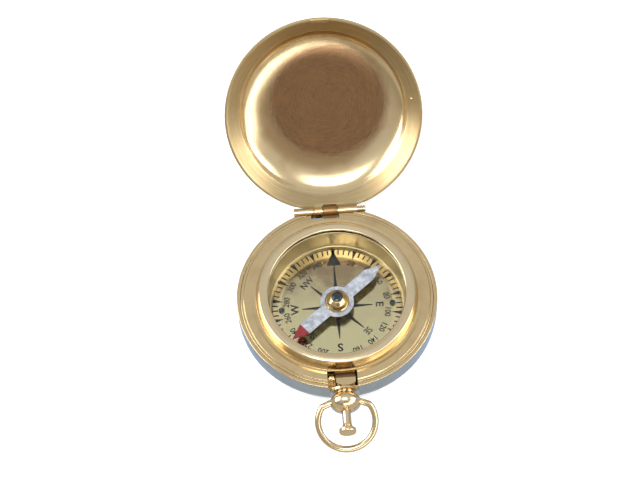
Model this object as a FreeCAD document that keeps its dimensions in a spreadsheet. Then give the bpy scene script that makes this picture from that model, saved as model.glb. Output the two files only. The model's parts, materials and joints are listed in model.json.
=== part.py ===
import FreeCAD, Part
import Sketcher
import math
import os

from FreeCAD import Placement, Rotation, Vector

# Push-button pocket compass in a brass hunter case, lid open.
# Millimetres. The origin is the centre of the base, +Z up, -Y towards the button, +Y towards the lid hinge.

SIZES = {
    # case
    "case_radius": 25.0,
    "rim_height": 9.75,
    "case_wall": 1.0,
    "floor_thick": 0.9,
    "base_round": 6.0,
    # rim flange and bezel
    "flange_top": 10.0,
    "flange_bottom": 8.75,
    "flange_step_radius": 23.0,
    "cove_outer": 21.6,
    "cove_depth": 0.3,
    "bezel_outer": 20.3,
    "bezel_shoulder": 19.4,
    "bezel_crest": 18.4,
    "bezel_height": 3.0,
    "bezel_lip": 17.1,
    # capsule, dial and glass
    "capsule_inner": 17.1,
    "capsule_outer": 18.0,
    "glass_bottom": 11.1,
    "glass_thick": 1.2,
    "dial_top": 3.5,
    "dial_thick": 0.6,
    "dial_hole": 1.75,
    "dial_ring_inner": 16.3,
    "dial_ring_height": 1.1,
    "dial_screw_place": 14.0,
    "dial_screw_radius": 0.5,
    "dial_screw_head": 0.75,
    "dial_screw_head_height": 0.3,
    "pillar_radius": 1.4,
    # needle
    "post_radius": 0.8,
    "post_foot": 1.6,
    "post_shoulder": 7.0,
    "post_tip": 8.3,
    "needle_bottom": 6.2,
    "needle_thick": 0.35,
    "needle_reach": 15.1,
    "needle_width": 3.4,
    "needle_point": 4.0,
    "needle_hub": 4.2,
    "needle_bearing": 51.0,
    "cap_radius": 3.1,
    "cap_top": 8.95,
    "jewel_radius": 1.45,
    "jewel_bore": 1.2,
    # needle stop
    "collar_outer": 1.5,
    "collar_head": 2.1,
    "collar_bottom": 2.34,
    "collar_top": 5.6,
    "running_gap": 0.05,
    "lever_bottom": 1.6,
    "lever_thick": 0.6,
    "lever_width": 2.0,
    "lever_eye": 1.9,
    "lever_pivot": 9.0,
    "lever_pin_radius": 0.25,
    "lever_boss": 0.6,
    "ear_thick": 0.8,
    "lock_x": -2.9,
    "lock_y": -22.7,
    "lock_stem": 0.5,
    "lock_ball": 0.75,
    "lock_ball_height": 10.4,
    "lock_bottom": 5.3,
    # notches in the rim
    "front_notch_left": -3.95,
    "front_notch_right": 3.4,
    "front_notch_depth": 24.7,
    "back_notch_left": -4.9,
    "back_notch_right": 2.2,
    "back_notch_inner": 22.1,
    "hinge_seat_inner": 23.4,
    "spring_screw_x": -10.6,
    "spring_screw_y": 19.8,
    "spring_screw_radius": 0.7,
    # hinge
    "hinge_y": 24.8,
    "hinge_z": 8.9,
    "knuckle_radius": 1.1,
    "pin_radius": 0.5,
    "left_knuckle_start": -9.2,
    "left_knuckle_end": -4.3,
    "lid_knuckle_start": -3.95,
    "lid_knuckle_end": -1.95,
    "tab_start": -1.65,
    "tab_end": 1.75,
    "right_knuckle_start": 2.05,
    "right_knuckle_end": 7.0,
    "pin_end": 9.1,
    "tab_radius": 1.75,
    "tab_toe": 2.35,
    "lid_open": 134.0,
    # lid, measured shut
    "lid_edge_height": 1.15,
    "lid_edge_thick": 0.7,
    "lid_crease": 21.0,
    "lid_crease_rise": 2.85,
    "lid_crown": 15.0,
    "lid_crown_rise": 5.25,
    "lid_centre_rise": 5.6,
    "lid_thick": 0.8,
    # catch
    "catch_left": -1.9,
    "catch_right": 2.9,
    "catch_inner": 22.3,
    "catch_face": 23.9,
    "catch_beak": 24.3,
    "beak_bottom": 9.4,
    "beak_top": 9.74,
    "catch_bottom": 6.8,
    # pendant, button and bow
    "pendant_z": 8.0,
    "pendant_collar_radius": 3.65,
    "pendant_collar_thick": 0.8,
    "ball_y": -28.2,
    "ball_radius": 3.8,
    "ball_half_length": 2.6,
    "stem_radius": 1.1,
    "stem_inner_end": -23.95,
    "stem_outer_end": -34.2,
    "stem_shoulder": 1.7,
    "chamber_radius": 1.95,
    "chamber_inner": -26.9,
    "chamber_outer": -30.0,
    "head_radius": 2.1,
    "head_flare": 1.0,
    "head_thick": 1.1,
    "bow_radius": 7.0,
    "bow_wire": 0.8,
    "bow_drop": 4.7,
    "bow_pin_end": 2.95,
    "bow_hole_depth": 2.85,
    "bow_tilt": 37.8,
}

doc = FreeCAD.newDocument("PocketCompass")
sheet = doc.addObject("Spreadsheet::Sheet", "Size")
for row, (alias, number) in enumerate(SIZES.items(), start=1):
    sheet.set("A%d" % row, alias)
    sheet.set("B%d" % row, repr(number))
    sheet.setAlias("B%d" % row, alias)
doc.recompute()

NODES = []


def size(alias):
    """Read one driving dimension from the sheet."""
    return float(sheet.get(alias))


def value(expression):
    """Work out a sheet expression as a number."""
    return float(sheet.evalExpression(expression))


def node(feature, label):
    """Register a finished sub-part under its own label."""
    feature.Label = label
    NODES.append(feature)
    return feature


def primitive(kind, name, place=None, **sizes):
    """A Part primitive whose sizes are bound to sheet expressions."""
    solid = doc.addObject("Part::" + kind, name)
    for prop, expression in sizes.items():
        solid.setExpression(prop, expression)
    if place is not None:
        solid.Placement = place
    return solid


def at(x, y, z, axis=None, angle=0.0):
    """A placement from a point and an optional turn."""
    turn = Rotation(Vector(*axis), angle) if axis else Rotation()
    return Placement(Vector(x, y, z), turn)


ALONG_X = ((0, 1, 0), 90)
ALONG_MINUS_Y = ((1, 0, 0), 90)


def box(name, low, high, place=None):
    """A box between two corners, in row coordinates."""
    solid = doc.addObject("Part::Box", name)
    solid.Length = high[0] - low[0]
    solid.Width = high[1] - low[1]
    solid.Height = high[2] - low[2]
    solid.Placement = (place or Placement()).multiply(at(*low))
    return solid


def fuse(name, *parts):
    joined = doc.addObject("Part::MultiFuse", name)
    joined.Shapes = list(parts)
    joined.Refine = True
    return joined


def cut(name, base, *tools):
    tool = tools[0] if len(tools) == 1 else fuse(name + "_tools", *tools)
    result = doc.addObject("Part::Cut", name)
    result.Base = base
    result.Tool = tool
    return result


def common(name, first, second):
    result = doc.addObject("Part::Common", name)
    result.Base = first
    result.Tool = second
    return result


def origin_plane(body, role):
    return next(item for item in body.Origin.OriginFeatures if item.Role == role)


def outline(sketch, corners):
    """Closed polygon through corners given as pairs of sheet expressions, each corner held by two distances."""
    points = [Vector(value(across), value(up), 0) for across, up in corners]
    count = len(points)
    for index in range(count):
        sketch.addGeometry(Part.LineSegment(points[index], points[(index + 1) % count]), False)
    for index in range(count):
        sketch.addConstraint(Sketcher.Constraint("Coincident", index, 2, (index + 1) % count, 1))
    for index, (across, up) in enumerate(corners):
        for kind, expression, place in (("DistanceX", across, points[index].x), ("DistanceY", up, points[index].y)):
            held = sketch.addConstraint(Sketcher.Constraint(kind, -1, 1, index, 1, place))
            sketch.setExpression("Constraints[%d]" % held, expression)


def sketch_on(body, role, name, corners):
    sketch = body.newObject("Sketcher::SketchObject", name)
    sketch.AttachmentSupport = (origin_plane(body, role), [""])
    sketch.MapMode = "FlatFace"
    outline(sketch, corners)
    return sketch


def turned(label, corners, place=None):
    """A body turned about Z from a half section of (radius, height) corners."""
    body = doc.addObject("PartDesign::Body", label)
    section = sketch_on(body, "XZ_Plane", label + "_section", corners)
    turn = body.newObject("PartDesign::Revolution", label + "_turn")
    turn.Profile = (section, [""])
    turn.ReferenceAxis = (section, ["V_Axis"])
    turn.Angle = 360
    section.Visibility = False
    doc.recompute()
    if place is not None:
        body.Placement = place
    return body


def round_edges(body, radius, rims):
    """Round the circular edges that lie at the given (radius, height) pairs."""
    base = body.Tip
    names = []
    for index, edge in enumerate(base.Shape.Edges, start=1):
        if not isinstance(edge.Curve, Part.Circle):
            continue
        for rim_radius, rim_z in rims:
            if abs(edge.Curve.Radius - rim_radius) < 0.01 and abs(edge.Curve.Center.z - rim_z) < 0.01:
                names.append("Edge%d" % index)
    fillet = body.newObject("PartDesign::Fillet", "%s_round%d" % (body.Name, len(body.Group)))
    fillet.Base = (base, names)
    fillet.setExpression("Radius", radius)
    doc.recompute()
    return fillet


def plate(label, corners, thickness, bottom, place=None):
    """A flat piece: a polygon in plan, padded up from its bottom height."""
    body = doc.addObject("PartDesign::Body", label)
    plan = sketch_on(body, "XY_Plane", label + "_plan", corners)
    plan.setExpression(".AttachmentOffset.Base.z", bottom)
    pad = body.newObject("PartDesign::Pad", label + "_pad")
    pad.Profile = (plan, [""])
    pad.setExpression("Length", thickness)
    doc.recompute()
    if place is not None:
        body.Placement = place
    return body


# ---------------------------------------------------------------- case
def rim_cuts(prefix):
    """The gaps through the rim: the catch opening in front, the hinge seat and the tab notch behind."""
    above = size("flange_top") + 2
    front = box(
        prefix + "_front",
        (size("front_notch_left"), -size("front_notch_depth"), 7.2),
        (size("front_notch_right"), -20.5, above),
    )
    seat = box(
        prefix + "_seat",
        (size("left_knuckle_start") - 0.4, size("hinge_seat_inner"), 7.55),
        (size("pin_end") + 0.4, 27, above),
    )
    notch = box(
        prefix + "_notch",
        (size("back_notch_left"), size("back_notch_inner"), 6.2),
        (size("back_notch_right"), 27, above),
    )
    return front, seat, notch


def make_case_body():
    pan = turned("case_pan", [
        ("0", "0"),
        ("Size.case_radius", "0"),
        ("Size.case_radius", "Size.rim_height"),
        ("Size.case_radius - Size.case_wall", "Size.rim_height"),
        ("Size.case_radius - Size.case_wall", "Size.floor_thick"),
        ("0", "Size.floor_thick"),
    ])
    inner = size("case_radius") - size("case_wall")
    round_edges(pan, "Size.base_round", [(size("case_radius"), 0)])
    round_edges(pan, "Size.base_round - Size.floor_thick", [(inner, size("floor_thick"))])
    stem_hole = primitive(
        "Cylinder", "case_stem_hole", at(0, -20, size("pendant_z"), *ALONG_MINUS_Y),
        Radius="Size.stem_radius + Size.running_gap", Height="8",
    )
    return node(cut("case_body_cut", pan, stem_hole, *rim_cuts("case")), "case_body")


def make_rim_flange():
    ring = turned("flange_ring", [
        ("Size.capsule_outer", "Size.flange_bottom"),
        ("Size.case_radius - Size.case_wall", "Size.flange_bottom"),
        ("Size.case_radius - Size.case_wall", "Size.rim_height"),
        ("Size.flange_step_radius", "Size.rim_height"),
        ("Size.flange_step_radius", "Size.flange_top"),
        ("Size.cove_outer", "Size.flange_top"),
        ("Size.cove_outer - 0.45", "Size.flange_top - Size.cove_depth"),
        ("Size.bezel_outer + 0.25", "Size.flange_top - Size.cove_depth"),
        ("Size.bezel_outer", "Size.flange_top"),
        ("Size.capsule_outer", "Size.flange_top"),
    ])
    screw_hole = primitive(
        "Cylinder", "flange_screw_hole", at(size("spring_screw_x"), size("spring_screw_y"), 8),
        Radius="Size.spring_screw_radius", Height="1.5",
    )
    return node(cut("rim_flange_cut", ring, screw_hole, *rim_cuts("flange")), "rim_flange")


def make_bezel():
    ring = turned("bezel_ring", [
        ("Size.capsule_outer", "Size.flange_top"),
        ("Size.bezel_outer", "Size.flange_top"),
        ("Size.bezel_outer", "Size.flange_top + 0.3"),
        ("Size.bezel_shoulder", "Size.flange_top + Size.bezel_height - 0.15"),
        ("Size.bezel_crest", "Size.flange_top + Size.bezel_height"),
        ("Size.bezel_lip", "Size.flange_top + Size.bezel_height - 0.25"),
        ("Size.bezel_lip", "Size.glass_bottom + Size.glass_thick"),
        ("Size.capsule_outer", "Size.glass_bottom + Size.glass_thick"),
    ])
    return node(ring, "bezel_ring")


def make_capsule():
    wall = turned("capsule_tube", [
        ("Size.capsule_inner", "Size.floor_thick"),
        ("Size.capsule_outer", "Size.floor_thick"),
        ("Size.capsule_outer", "Size.glass_bottom"),
        ("Size.capsule_inner", "Size.glass_bottom"),
    ])
    slot = box("capsule_slot", (-1.5, -19, 0.8), (1.5, -16, 2.9), LEVER_PLACE)
    node(cut("capsule_wall_cut", wall, slot), "capsule_wall")
    glass = primitive(
        "Cylinder", "glass_disc", at(0, 0, size("glass_bottom")),
        Radius="Size.capsule_outer", Height="Size.glass_thick",
    )
    node(glass, "glass_crystal")


def make_dial():
    screw_x = size("dial_screw_place")
    under = value("Size.dial_top - Size.dial_thick")
    disc = turned("dial_disc", [
        ("Size.dial_hole", "Size.dial_top - Size.dial_thick"),
        ("Size.capsule_inner", "Size.dial_top - Size.dial_thick"),
        ("Size.capsule_inner", "Size.dial_top"),
        ("Size.dial_hole", "Size.dial_top"),
    ])
    holes = []
    pillars = []
    bores = []
    screws = []
    for side, x in (("east", screw_x), ("west", -screw_x)):
        holes.append(primitive(
            "Cylinder", "dial_hole_" + side, at(x, 0, under - 1), Radius="Size.dial_screw_radius", Height="3",
        ))
        pillars.append(primitive(
            "Cylinder", "pillar_" + side, at(x, 0, size("floor_thick")),
            Radius="Size.pillar_radius", Height="Size.dial_top - Size.dial_thick - Size.floor_thick",
        ))
        bores.append(primitive(
            "Cylinder", "pillar_bore_" + side, at(x, 0, 1.3), Radius="Size.dial_screw_radius", Height="3",
        ))
        screws.append(primitive(
            "Cylinder", "screw_shank_" + side, at(x, 0, 1.3),
            Radius="Size.dial_screw_radius", Height="Size.dial_top - 1.3",
        ))
        screws.append(primitive(
            "Cylinder", "screw_head_" + side, at(x, 0, size("dial_top")),
            Radius="Size.dial_screw_head", Height="Size.dial_screw_head_height",
        ))
    node(cut("dial_plate_cut", disc, *holes), "dial_plate")
    node(cut("dial_pillars_cut", fuse("dial_pillar_pair", *pillars), *bores), "dial_pillars")
    node(fuse("dial_screw_pair", *screws), "dial_screws")
    node(turned("dial_ring", [
        ("Size.dial_ring_inner", "Size.dial_top"),
        ("Size.capsule_inner", "Size.dial_top"),
        ("Size.capsule_inner", "Size.dial_top + Size.dial_ring_height"),
        ("Size.dial_ring_inner + 0.3", "Size.dial_top + Size.dial_ring_height"),
    ]), "dial_retaining_ring")


# ---------------------------------------------------------------- needle
def make_needle():
    node(turned("post", [
        ("0", "Size.floor_thick"),
        ("Size.post_foot", "Size.floor_thick"),
        ("Size.post_foot", "Size.floor_thick + 0.4"),
        ("Size.post_radius", "Size.floor_thick + 0.4"),
        ("Size.post_radius", "Size.post_shoulder"),
        ("0", "Size.post_tip"),
    ]), "pivot_post")

    # The bar lies along Y, then turns clockwise from north to its bearing.
    heading = at(0, 0, 0, (0, 0, 1), -size("needle_bearing"))
    half = "Size.needle_width / 2"
    shoulder = "(Size.needle_reach - Size.needle_point)"
    bar = plate("needle_bar", [
        ("0 - " + half, "0 - " + shoulder),
        ("0", "0 - Size.needle_reach"),
        (half, "0 - " + shoulder),
        (half, shoulder),
        ("0", "Size.needle_reach"),
        ("0 - " + half, shoulder),
    ], "Size.needle_thick", "Size.needle_bottom", heading)
    hub = primitive(
        "Cylinder", "needle_hub", at(0, 0, size("needle_bottom")),
        Radius="Size.needle_hub", Height="Size.needle_thick",
    )
    eye = primitive(
        "Cylinder", "needle_eye", at(0, 0, size("needle_bottom") - 1), Radius="Size.jewel_bore", Height="3",
    )
    node(cut("needle_blade_cut", fuse("needle_bar_hub", bar, hub), eye), "needle_blade")

    deck = "Size.needle_bottom + Size.needle_thick"
    node(turned("cap", [
        ("Size.jewel_bore", deck),
        ("Size.cap_radius", deck),
        ("Size.cap_radius", deck + " + 0.35"),
        ("Size.cap_radius - 0.35", deck + " + 1.1"),
        ("Size.cap_radius - 0.9", deck + " + 1.8"),
        ("Size.jewel_radius + 0.1", "Size.cap_top"),
        ("Size.jewel_bore", "Size.cap_top"),
    ]), "needle_cap")
    node(turned("jewel", [
        ("0", "Size.post_tip + Size.running_gap"),
        ("0.9", "Size.post_tip - 0.7"),
        ("Size.jewel_bore", "Size.post_tip - 0.7"),
        ("Size.jewel_bore", "Size.cap_top"),
        ("Size.jewel_radius", "Size.cap_top"),
        ("Size.jewel_radius", "Size.cap_top + 0.2"),
        ("Size.jewel_radius - 0.4", "Size.cap_top + 0.45"),
        ("0", "Size.cap_top + 0.55"),
    ]), "needle_jewel")


# ---------------------------------------------------------------- needle stop
LEVER_TURN = -math.degrees(math.atan2(-size("lock_x"), -size("lock_y")))
LEVER_PLACE = at(0, 0, 0, (0, 0, 1), LEVER_TURN)


def make_needle_stop():
    node(turned("collar", [
        ("Size.post_radius + Size.running_gap", "Size.collar_bottom"),
        ("Size.collar_outer", "Size.collar_bottom"),
        ("Size.collar_outer", "Size.collar_top - 0.5"),
        ("Size.collar_head", "Size.collar_top - 0.5"),
        ("Size.collar_head", "Size.collar_top"),
        ("Size.post_radius + Size.running_gap", "Size.collar_top"),
    ]), "lift_collar")

    # Side view of the lever: flat under the dial, then up to a foot below the lock pin.
    body = doc.addObject("PartDesign::Body", "lever_bar")
    low = "Size.lever_bottom"
    high = "Size.lever_bottom + Size.lever_thick"
    side = sketch_on(body, "YZ_Plane", "lever_side", [
        ("0 - 1.4", low),
        ("0 - 18.5", low),
        ("0 - 21.6", "Size.lock_bottom - 0.6"),
        ("0 - 23.2", "Size.lock_bottom - 0.6"),
        ("0 - 23.2", "Size.lock_bottom - 0.08"),
        ("0 - 21.4", "Size.lock_bottom - 0.08"),
        ("0 - 18.2", high),
        ("0 - 1.4", high),
    ])
    pad = body.newObject("PartDesign::Pad", "lever_pad")
    pad.Profile = (side, [""])
    pad.setExpression("Length", "Size.lever_width")
    pad.Midplane = True
    doc.recompute()
    body.Placement = LEVER_PLACE
    pivot_z = value("Size.lever_bottom + Size.lever_thick / 2")
    half = size("lever_width") / 2
    across = ((0, 1, 0), 90)

    def on_lever(x, y, z, turn=None):
        return LEVER_PLACE.multiply(at(x, y, z, *(turn or ())))

    eye = primitive(
        "Cylinder", "lever_eye_disc", on_lever(0, 0, size("lever_bottom")),
        Radius="Size.lever_eye", Height="Size.lever_thick",
    )
    boss = primitive(
        "Cylinder", "lever_boss_bar", on_lever(-half, -size("lever_pivot"), pivot_z, across),
        Radius="Size.lever_boss", Height="Size.lever_width",
    )
    eye_hole = primitive(
        "Cylinder", "lever_eye_hole", on_lever(0, 0, 0), Radius="Size.post_radius + 0.3", Height="4",
    )
    boss_hole = primitive(
        "Cylinder", "lever_boss_hole", on_lever(-half - 1, -size("lever_pivot"), pivot_z, across),
        Radius="Size.lever_pin_radius + Size.running_gap", Height="Size.lever_width + 2",
    )
    node(cut("lift_lever_cut", fuse("lever_solid", body, eye, boss), eye_hole, boss_hole), "lift_lever")

    reach = half + 0.3 + size("ear_thick")
    floor = size("floor_thick")
    pivot_y = -size("lever_pivot")
    ears = [
        box("ear_" + name, (x, pivot_y - 0.8, floor), (x + size("ear_thick"), pivot_y + 0.8, 2.6), LEVER_PLACE)
        for name, x in (("left", -reach), ("right", half + 0.3))
    ]
    ear_hole = primitive(
        "Cylinder", "ear_hole", on_lever(-reach - 1, pivot_y, pivot_z, across),
        Radius="Size.lever_pin_radius", Height="2 * 4",
    )
    node(cut("lever_ears_cut", fuse("ear_pair", *ears), ear_hole), "lever_ears")
    pin = primitive(
        "Cylinder", "lever_pin_bar", on_lever(-reach, pivot_y, pivot_z, across),
        Radius="Size.lever_pin_radius", Height="Size.lever_width + 2 * (0.3 + Size.ear_thick)",
    )
    node(pin, "lever_pin")


def make_lock_pin():
    x = size("lock_x")
    y = size("lock_y")
    stem = primitive(
        "Cylinder", "lock_stem_bar", at(x, y, size("lock_bottom")),
        Radius="Size.lock_stem", Height="Size.lock_ball_height - Size.lock_bottom",
    )
    ball = primitive(
        "Sphere", "lock_ball_head", at(x, y, size("lock_ball_height")), Radius="Size.lock_ball",
    )
    node(fuse("lock_pin_solid", stem, ball), "lock_pin")

    block = box("guide_block", (x - 1.5, -25, 6.4), (x + 0.75, -21.7, size("flange_bottom") - 0.05))
    inside = primitive(
        "Cylinder", "guide_bound", at(0, 0, 6), Radius="Size.case_radius - Size.case_wall", Height="4",
    )
    bore = primitive(
        "Cylinder", "guide_bore", at(x, y, 6), Radius="Size.lock_stem + Size.running_gap", Height="4",
    )
    node(cut("lock_guide_cut", common("guide_solid", block, inside), bore), "lock_guide")


# ---------------------------------------------------------------- hinge and lid
def hinge_place(x):
    """A placement on the hinge axis at x, with local Z along X."""
    return at(x, size("hinge_y"), size("hinge_z"), *ALONG_X)


def hinge_bar(name, start, end, radius):
    """A round bar on the hinge axis between two sheet aliases."""
    return primitive(
        "Cylinder", name, hinge_place(size(start)), Radius=radius, Height="Size.%s - Size.%s" % (end, start),
    )


def make_case_hinge():
    seat = value("Size.hinge_z - Size.knuckle_radius")
    tubes = []
    for side in ("left", "right"):
        start = side + "_knuckle_start"
        end = side + "_knuckle_end"
        tubes.append(hinge_bar("tube_" + side, start, end, "Size.knuckle_radius"))
        tubes.append(box(
            "foot_" + side,
            (size(start), size("hinge_y") - 0.8, 7.55),
            (size(end), size("hinge_y") + 0.8, seat + 0.5),
        ))
    bore = hinge_bar("tube_bore", "left_knuckle_start", "right_knuckle_end", "Size.pin_radius")
    pan_side = primitive(
        "Cylinder", "leaf_bound", at(0, 0, 5), Radius="Size.case_radius", Height="2.55",
    )
    node(cut("case_knuckles_cut", fuse("case_tubes", *tubes), bore), "case_knuckles")
    leaf = box(
        "leaf_block",
        (size("left_knuckle_start"), 22.9, 5.35),
        (size("pin_end"), 26.6, 5.95),
    )
    node(cut("hinge_leaf_cut", leaf, pan_side), "hinge_leaf")

    ribs = []
    start = size("right_knuckle_end")
    for index in range(3):
        rib = start + 0.15 + 0.65 * index
        ribs += [
            ("0.62", repr(rib)),
            ("0.88", repr(rib + 0.1)),
            ("0.88", repr(rib + 0.4)),
            ("0.62", repr(rib + 0.5)),
        ]
    pin = turned("pin_body", [
        ("0", "Size.left_knuckle_start"),
        ("Size.pin_radius", "Size.left_knuckle_start"),
        ("Size.pin_radius", "Size.right_knuckle_end"),
        ("0.62", "Size.right_knuckle_end"),
        *ribs,
        ("0.62", "Size.pin_end"),
        ("0", "Size.pin_end"),
    ], hinge_place(0))
    node(pin, "hinge_pin")


def swung_open():
    """The turn about the hinge axis that takes the shut lid to its open stop."""
    centre = Vector(0, size("hinge_y"), size("hinge_z"))
    return Placement(Vector(), Rotation(Vector(1, 0, 0), -size("lid_open")), centre)


def make_lid():
    opened = swung_open()
    seat = "Size.rim_height + 0.03"
    shell = turned("lid_pan", [
        ("0", seat + " + Size.lid_centre_rise"),
        ("Size.lid_crown", seat + " + Size.lid_crown_rise"),
        ("Size.lid_crease", seat + " + Size.lid_crease_rise"),
        ("Size.case_radius - Size.lid_edge_thick", seat),
        ("Size.case_radius", seat),
        ("Size.case_radius", seat + " + Size.lid_edge_height"),
        ("Size.lid_crease + 0.3", seat + " + Size.lid_crease_rise + Size.lid_thick + 0.1"),
        ("Size.lid_crown + 0.2", seat + " + Size.lid_crown_rise + Size.lid_thick"),
        ("0", seat + " + Size.lid_centre_rise + Size.lid_thick"),
    ])
    seat_z = value(seat)
    crown_z = seat_z + size("lid_crown_rise")
    crease_z = seat_z + size("lid_crease_rise")
    round_edges(shell, "3", [
        (size("lid_crown"), crown_z),
        (size("lid_crown") + 0.2, crown_z + size("lid_thick")),
    ])
    round_edges(shell, "1.2", [
        (size("lid_crease") + 0.3, crease_z + size("lid_thick") + 0.1),
    ])
    round_edges(shell, "0.5", [
        (size("case_radius"), seat_z + size("lid_edge_height")),
    ])
    slot = box(
        "lid_hinge_slot",
        (size("left_knuckle_start") - 0.4, size("hinge_y") - 1.45, 9),
        (size("pin_end") + 0.4, 27, size("hinge_z") + 1.42),
    )
    cut_lid = cut("lid_shell_cut", shell, slot)
    cut_lid.Placement = opened
    node(cut_lid, "lid_shell")

    catch_left = size("catch_left")
    catch_right = size("catch_right")
    hook = size("beak_bottom") - 0.25
    edge = size("case_radius") - 0.4
    wall = box("lip_wall", (catch_left, -edge, hook), (catch_right, -edge + 0.22, seat_z), opened)
    barb = box("lip_barb", (catch_left, -edge, hook), (catch_right, -edge + 0.6, hook + 0.2), opened)
    node(fuse("lid_lip_solid", wall, barb), "lid_lip")


def lid_bar(name, start, end, radius):
    """A round bar on the hinge axis that swings with the lid."""
    bar = hinge_bar(name, start, end, radius)
    bar.Placement = swung_open().multiply(bar.Placement)
    return bar


def make_lid_hinge():
    opened = swung_open()
    hinge_y = size("hinge_y")
    hinge_z = size("hinge_z")
    web_top = hinge_z + 1.9
    bore = lid_bar("lid_bore", "lid_knuckle_start", "tab_end", "Size.pin_radius + Size.running_gap")
    slot_top = hinge_z + 1.42

    tube = lid_bar("lid_tube", "lid_knuckle_start", "lid_knuckle_end", "Size.knuckle_radius")
    web = box(
        "lid_tube_web",
        (size("lid_knuckle_start"), hinge_y - 0.9, hinge_z),
        (size("lid_knuckle_end"), hinge_y + 0.1, slot_top),
        opened,
    )
    node(cut("lid_knuckle_cut", fuse("lid_knuckle_solid", tube, web), bore), "lid_knuckle")

    # The tab wraps the pin; in the open pose its toe points into the rim notch.
    barrel = lid_bar("tab_barrel", "tab_start", "tab_end", "Size.tab_radius")
    keep_below = box(
        "tab_trim",
        (size("tab_start") - 1, hinge_y - 4, slot_top),
        (size("tab_end") + 1, hinge_y + 4, web_top + 3),
        opened,
    )
    toe = box(
        "tab_toe",
        (size("tab_start"), hinge_y - size("tab_toe"), hinge_z - 0.85),
        (size("tab_end"), hinge_y, hinge_z + 0.55),
    )
    node(cut("lid_tab_cut", fuse("lid_tab_solid", barrel, toe), bore, keep_below), "lid_kick_tab")


def make_lid_spring():
    low = size("flange_bottom") - 0.3
    x = size("spring_screw_x")
    y = size("spring_screw_y")
    strip = plate("spring_strip", [
        ("0 - 12.2", "19.0"),
        ("0 - 9.6", "18.6"),
        ("0 - 4.4", "21.4"),
        ("0 - 2.0", "21.9"),
        ("0 - 2.0", "23.0"),
        ("0 - 4.6", "23.0"),
        ("0 - 10.4", "21.2"),
        ("0 - 12.4", "20.4"),
    ], "0.3", "Size.flange_bottom - 0.3")
    hole = primitive(
        "Cylinder", "spring_hole", at(x, y, low - 1), Radius="Size.spring_screw_radius", Height="3",
    )
    node(cut("lid_spring_cut", strip, hole), "lid_spring")
    shank = primitive(
        "Cylinder", "spring_screw_shank", at(x, y, low), Radius="Size.spring_screw_radius", Height="1",
    )
    head = primitive("Cylinder", "spring_screw_head", at(x, y, low - 0.5), Radius="1.2", Height="0.5")
    node(fuse("lid_spring_screw_solid", shank, head), "lid_spring_screw")


# ---------------------------------------------------------------- catch
def make_catch():
    left = size("catch_left")
    right = size("catch_right")
    width = right - left
    middle = (left + right) / 2
    low = size("catch_bottom")
    inner = -size("catch_inner")
    block = box("catch_stem", (left, -size("catch_face"), low), (right, inner, size("beak_bottom")))
    beak = box("catch_beak_block", (left, -size("catch_beak"), size("beak_bottom")), (right, inner, size("beak_top")))
    # The beak's outer edge is a shallow arc that follows the rim.
    bow_radius = width * 0.8
    arc = primitive("Cylinder", "catch_arc", at(middle, -size("catch_beak") + bow_radius, 5), Height="6")
    arc.Radius = bow_radius
    node(common("catch_rounded", fuse("catch_solid", block, beak), arc), "catch_block")

    shelf = box("shelf_block", (left, -25, 6.1), (right, -17.5, low - 0.05))
    outer = primitive("Cylinder", "shelf_bound", at(0, 0, 5), Radius="Size.case_radius - Size.case_wall", Height="4")
    hollow = primitive("Cylinder", "shelf_hollow", at(0, 0, 5), Radius="Size.capsule_outer", Height="4")
    node(cut("catch_shelf_cut", common("catch_shelf_solid", shelf, outer), hollow), "catch_shelf")


# ---------------------------------------------------------------- pendant, button and bow
def along_y(y):
    """A placement on the pendant's axis at y, with local Z pointing away from the case."""
    return at(0, y, size("pendant_z"), *ALONG_MINUS_Y)


def y_bar(name, start, end, radius):
    """A round bar on the pendant's axis between two y values given as sheet expressions."""
    return primitive(
        "Cylinder", name, along_y(value(start)), Radius=radius, Height="(%s) - (%s)" % (start, end),
    )


def make_pendant():
    outer = "0 - Size.case_radius - Size.pendant_collar_thick"
    disc = y_bar("collar_disc", "0 - 23.5", outer, "Size.pendant_collar_radius")
    case_side = primitive("Cylinder", "collar_seat", at(0, 0, 0), Radius="Size.case_radius", Height="20")
    lid_room = primitive(
        "Cylinder", "collar_lid_room", at(0, 0, size("rim_height") - 0.05),
        Radius="Size.case_radius + 0.3", Height="8",
    )
    hole = y_bar("collar_hole", "0 - 20", "0 - 30", "Size.stem_radius + Size.running_gap")
    node(cut("pendant_collar_cut", disc, case_side, lid_room, hole), "pendant_collar")

    ball = primitive(
        "Ellipsoid", "pendant_ball_solid", at(0, size("ball_y"), size("pendant_z")),
        Radius1="Size.ball_radius", Radius2="Size.ball_radius", Radius3="Size.ball_half_length",
    )
    neck = y_bar("pendant_neck", outer, outer + " - 1.6", "2.5")
    behind = y_bar("ball_back", "0 - 20", outer, "6")
    guide = y_bar("ball_guide", "0 - 25", "0 - 32", "Size.stem_radius + Size.running_gap")
    chamber = y_bar("ball_chamber", "Size.chamber_inner", "Size.chamber_outer", "Size.chamber_radius")
    sockets = [
        primitive(
            "Cylinder", "bow_socket_" + name, at(x, size("ball_y"), size("pendant_z"), *ALONG_X),
            Radius="Size.bow_wire + Size.running_gap", Height="2",
        )
        for name, x in (("left", -size("bow_hole_depth") - 2), ("right", size("bow_hole_depth")))
    ]
    solid = fuse("ball_and_neck", ball, neck)
    node(cut("pendant_ball_cut", solid, behind, guide, chamber, *sockets), "pendant_ball")


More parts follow.
